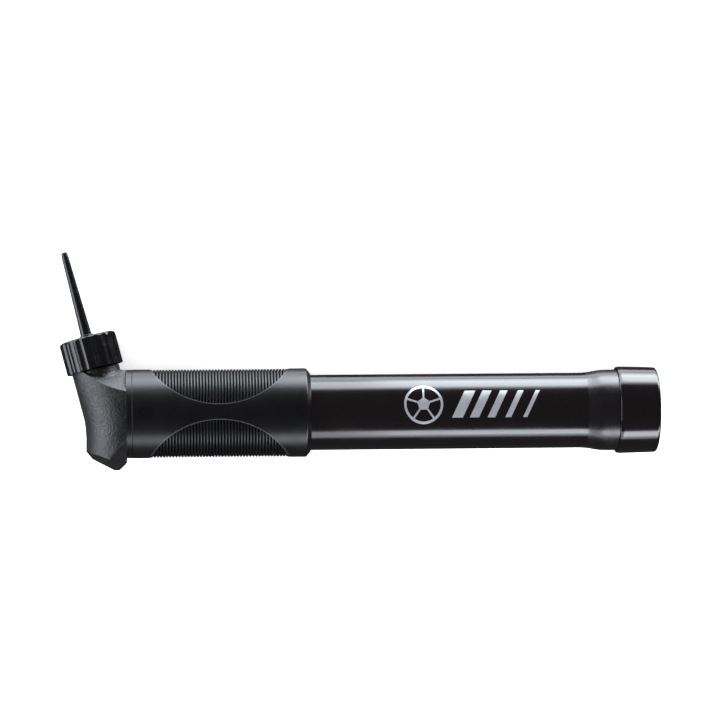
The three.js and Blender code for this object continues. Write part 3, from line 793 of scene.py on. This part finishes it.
# %% Piston rod
ROD_RADIUS = 5.0
ROD_BORE = 3.0
PORT_RADIUS = 1.2
PORT_SETBACK = 7.0
rod_start, rod_end = barrel_span("piston_rod")
rod = turned("piston_rod_skin", eased([
    (rod_start, ROD_BORE, 0.2), (rod_start, ROD_RADIUS, 0.3),
    (rod_end, ROD_RADIUS, 0.3), (rod_end, ROD_BORE, 0.2),
]), sides=96)
bpy.ops.object.select_all(action="DESELECT")
bpy.ops.mesh.primitive_cylinder_add(
    vertices=48, radius=PORT_RADIUS * MM, depth=4 * ROD_RADIUS * MM,
    location=(0, 0, (rod_end - PORT_SETBACK) * MM), rotation=(0, math.radians(90), 0),
)
carve(rod, bpy.context.object)
set_down(smooth(rod), along_barrel)
dress(rod, drawn_aluminium, "handle", "rod_aluminium", "piston_rod")

# %% [markdown]
# The barrel carries a silver print. Here it is a plain ball sign and a row of slanting
# bars, a design of our own. Silver ink is a metallic paint film: brighter than the
# plastic, softer in its gloss, and thin enough to follow the tube exactly.

# %% Silver print
silver_ink, shader = plastic("silver_pad_print_ink", "b9bcc1", 0.38)
shader.inputs["Metallic"].default_value = 0.75
vary(silver_ink, shader, 1.5, 0.32, 0.46)
PRINT_ANGLE = 9.2
SIGN_X = 96.0
SIGN_RADIUS = 6.45
BARS = 5
BAR_START = 107.3
BAR_PITCH = 5.6
BAR_HEIGHT = 9.0
BAR_SLANT = 2.2
WIDEST_BAR = 3.6
BAR_NARROWING = 0.55
RING_LINE = 0.8
SEAM_HALF_LINE = 0.3
MIDDLE_RADIUS = 2.3
PRINT_THICKNESS = 0.03


def block(name, corners):
    """An upright block over a flat outline of (along, across) corners in mm."""
    bpy.ops.object.select_all(action="DESELECT")
    bpy.ops.mesh.primitive_circle_add(vertices=len(corners), radius=MM, fill_type="NGON",
                                      location=(0, 0, 8 * MM))
    piece = bpy.context.object
    piece.name = name
    for vertex, (along, across) in zip(piece.data.vertices, corners):
        vertex.co = Vector((along, across, 0)) * MM
    only(piece)
    bpy.ops.object.mode_set(mode="EDIT")
    bpy.ops.mesh.select_all(action="SELECT")
    bpy.ops.mesh.extrude_region_move(TRANSFORM_OT_translate={"value": (0, 0, 8 * MM)})
    bpy.ops.mesh.select_all(action="SELECT")
    bpy.ops.mesh.normals_make_consistent(inside=False)
    bpy.ops.object.mode_set(mode="OBJECT")
    return piece


def spoke(angle, inner, outer, half_width):
    """Four corners of a bar that runs outwards from the sign's middle."""
    out = Vector((math.cos(angle), math.sin(angle)))
    side = Vector((-out.y, out.x)) * half_width
    return [out * inner - side, out * outer - side, out * outer + side, out * inner + side]


prints = [turned("sign_ring", [
    (8, SIGN_RADIUS - RING_LINE), (8, SIGN_RADIUS),
    (16, SIGN_RADIUS), (16, SIGN_RADIUS - RING_LINE),
], sides=96)]
spots = [SIGN_X]
five = [math.radians(90 + 72 * index) for index in range(5)]
prints.append(block("sign_middle", [
    (MIDDLE_RADIUS * math.cos(angle), MIDDLE_RADIUS * math.sin(angle)) for angle in five
]))
spots.append(SIGN_X)
for angle in five:
    seam = spoke(angle, MIDDLE_RADIUS - 0.1, SIGN_RADIUS - RING_LINE + 0.1, SEAM_HALF_LINE)
    prints.append(block("sign_seam", seam))
    spots.append(SIGN_X)
for index in range(BARS):
    half = (WIDEST_BAR - BAR_NARROWING * index) / 2
    prints.append(block("bar", [
        (-BAR_SLANT - half, -BAR_HEIGHT / 2), (-BAR_SLANT + half, -BAR_HEIGHT / 2),
        (BAR_SLANT + half, BAR_HEIGHT / 2), (BAR_SLANT - half, BAR_HEIGHT / 2),
    ]))
    spots.append(BAR_START + 2 + index * BAR_PITCH)
for piece, spot in zip(prints, spots):
    facing(piece, PRINT_ANGLE, spot)
    wrapped(piece, BARREL_RADIUS, PRINT_THICKNESS, spot - 8, spot + 8, 160)
printed = joined(prints, "barrel_print")
set_down(smooth(printed, 30), along_barrel)
dress(printed, silver_ink, "barrel", "print_silver")

# %% [markdown]
# The studio has a plain pale floor. It glows a little and is hidden from reflections and
# shadows, so that it stays even and doesn't grey the glossy plastic.

# %% Floor
bpy.ops.object.select_all(action="DESELECT")
bpy.ops.mesh.primitive_plane_add(size=6)
floor = bpy.context.object
floor.name = "floor"
floor.visible_glossy = False
floor.visible_shadow = False
floor.visible_diffuse = False
floor_paint, shader = plastic("pale_floor", "f8f8f8", 0.9)
shader.inputs["Emission Color"].default_value = linear("ffffff")
shader.inputs["Emission Strength"].default_value = 0.45
floor.data.materials.append(floor_paint)
print("floor:", floor_paint.name)

# %% [markdown]
# Long soft lights stand on both sides. A polished tube shows a light as a stripe exactly as
# wide as the light looks from the tube, so the widths and heights of these lights are what
# draws the stripes. The middle of the tube faces the camera and stays dark, so the light
# above is hidden from reflections. What the surfaces mirror of the world is kept dark too.

# %% Lights
middle = Vector((0, spin_centre.y, spin_centre.z))


def soft_light(name, place, target, width, height, power, color=(1, 1, 1), glossy=True):
    """A rectangular soft light that looks at a point."""
    data = bpy.data.lights.new(name, "AREA")
    data.shape = "RECTANGLE"
    data.size = width
    data.size_y = height
    data.energy = power
    data.color = color
    light = bpy.data.objects.new(name, data)
    bpy.context.scene.collection.objects.link(light)
    aim = (Vector(target) - Vector(place)).to_track_quat("-Z", "Y")
    light.matrix_world = Matrix.Translation(place) @ aim.to_matrix().to_4x4()
    light.visible_camera = False
    light.visible_glossy = glossy
    return light


def around(angle, distance, along=0.0):
    """A place at an angle from straight up, towards the needle side."""
    turn = math.radians(angle)
    return middle + Vector((along, math.sin(turn) * distance, math.cos(turn) * distance))


COOL = (0.88, 0.93, 1.0)
soft_light("needle_side", around(102, 0.7), middle, 2.6, 0.36, 16, COOL)
soft_light("needle_side_wide", around(113, 0.72), middle, 2.6, 0.85, 24, COOL)
soft_light("needle_side_right", around(108, 0.68, 0.5), around(108, 0, 0.5), 0.9, 0.4, 7, COOL)
soft_light("tail_side", around(-62, 0.7), middle, 2.6, 0.28, 9, COOL)
soft_light("tail_side_right", around(-57, 0.68, 0.5), around(-57, 0, 0.5), 0.9, 0.2, 4.5, COOL)
soft_light("head_side", Vector((-0.7, 0.05, 0.2)), middle, 0.6, 0.5, 6.5, COOL)
soft_light("overhead", Vector((0, 0, 2.0)), middle, 3.0, 3.0, 70, glossy=False)

world = bpy.data.worlds.new("studio")
bpy.context.scene.world = world
world.use_nodes = True
background = world.node_tree.nodes["Background"]
path = add(world, "ShaderNodeLightPath")
shade = add(world, "ShaderNodeMix", {"data_type": "RGBA"},
            Factor=path.outputs["Is Camera Ray"],
            A=(0.06, 0.054, 0.056, 1), B=(0.9, 0.9, 0.9, 1))
world.node_tree.links.new(shade.outputs["Result"], background.inputs["Color"])
bpy.context.scene.view_settings.view_transform = "Standard"
print("lights:", len(bpy.data.lights))

# %% [markdown]
# The camera looks down on the pump from far away with a long lens, leaning a little to the
# needle side and standing slightly towards the head.

# %% Camera
CAMERA_DISTANCE = 1.063
CAMERA_LEAN = math.radians(9.6)
CAMERA_YAW = math.radians(3.5)
CAMERA_ROLL = math.radians(0.15)
toward = Vector((
    -math.sin(CAMERA_YAW),
    math.cos(CAMERA_YAW) * math.sin(CAMERA_LEAN),
    math.cos(CAMERA_YAW) * math.cos(CAMERA_LEAN),
))
across = Vector((0, 1, 0)).cross(toward).normalized()
up = toward.cross(across)
target = pump_place @ (Vector((75.7, 0, 0)) * MM) + up * 17.3 * MM
camera_data = bpy.data.cameras.new("camera")
camera_data.lens = 160
camera_data.sensor_width = 36
camera_data.clip_end = 20
camera = bpy.data.objects.new("camera", camera_data)
bpy.context.scene.collection.objects.link(camera)
axes = Matrix((across, up, toward)).transposed().to_4x4()
camera.matrix_world = (
    Matrix.Translation(target + toward * CAMERA_DISTANCE)
    @ axes @ Matrix.Rotation(CAMERA_ROLL, 4, "Z")
)
bpy.context.scene.camera = camera
print("camera at", [round(value, 3) for value in camera.matrix_world.translation])
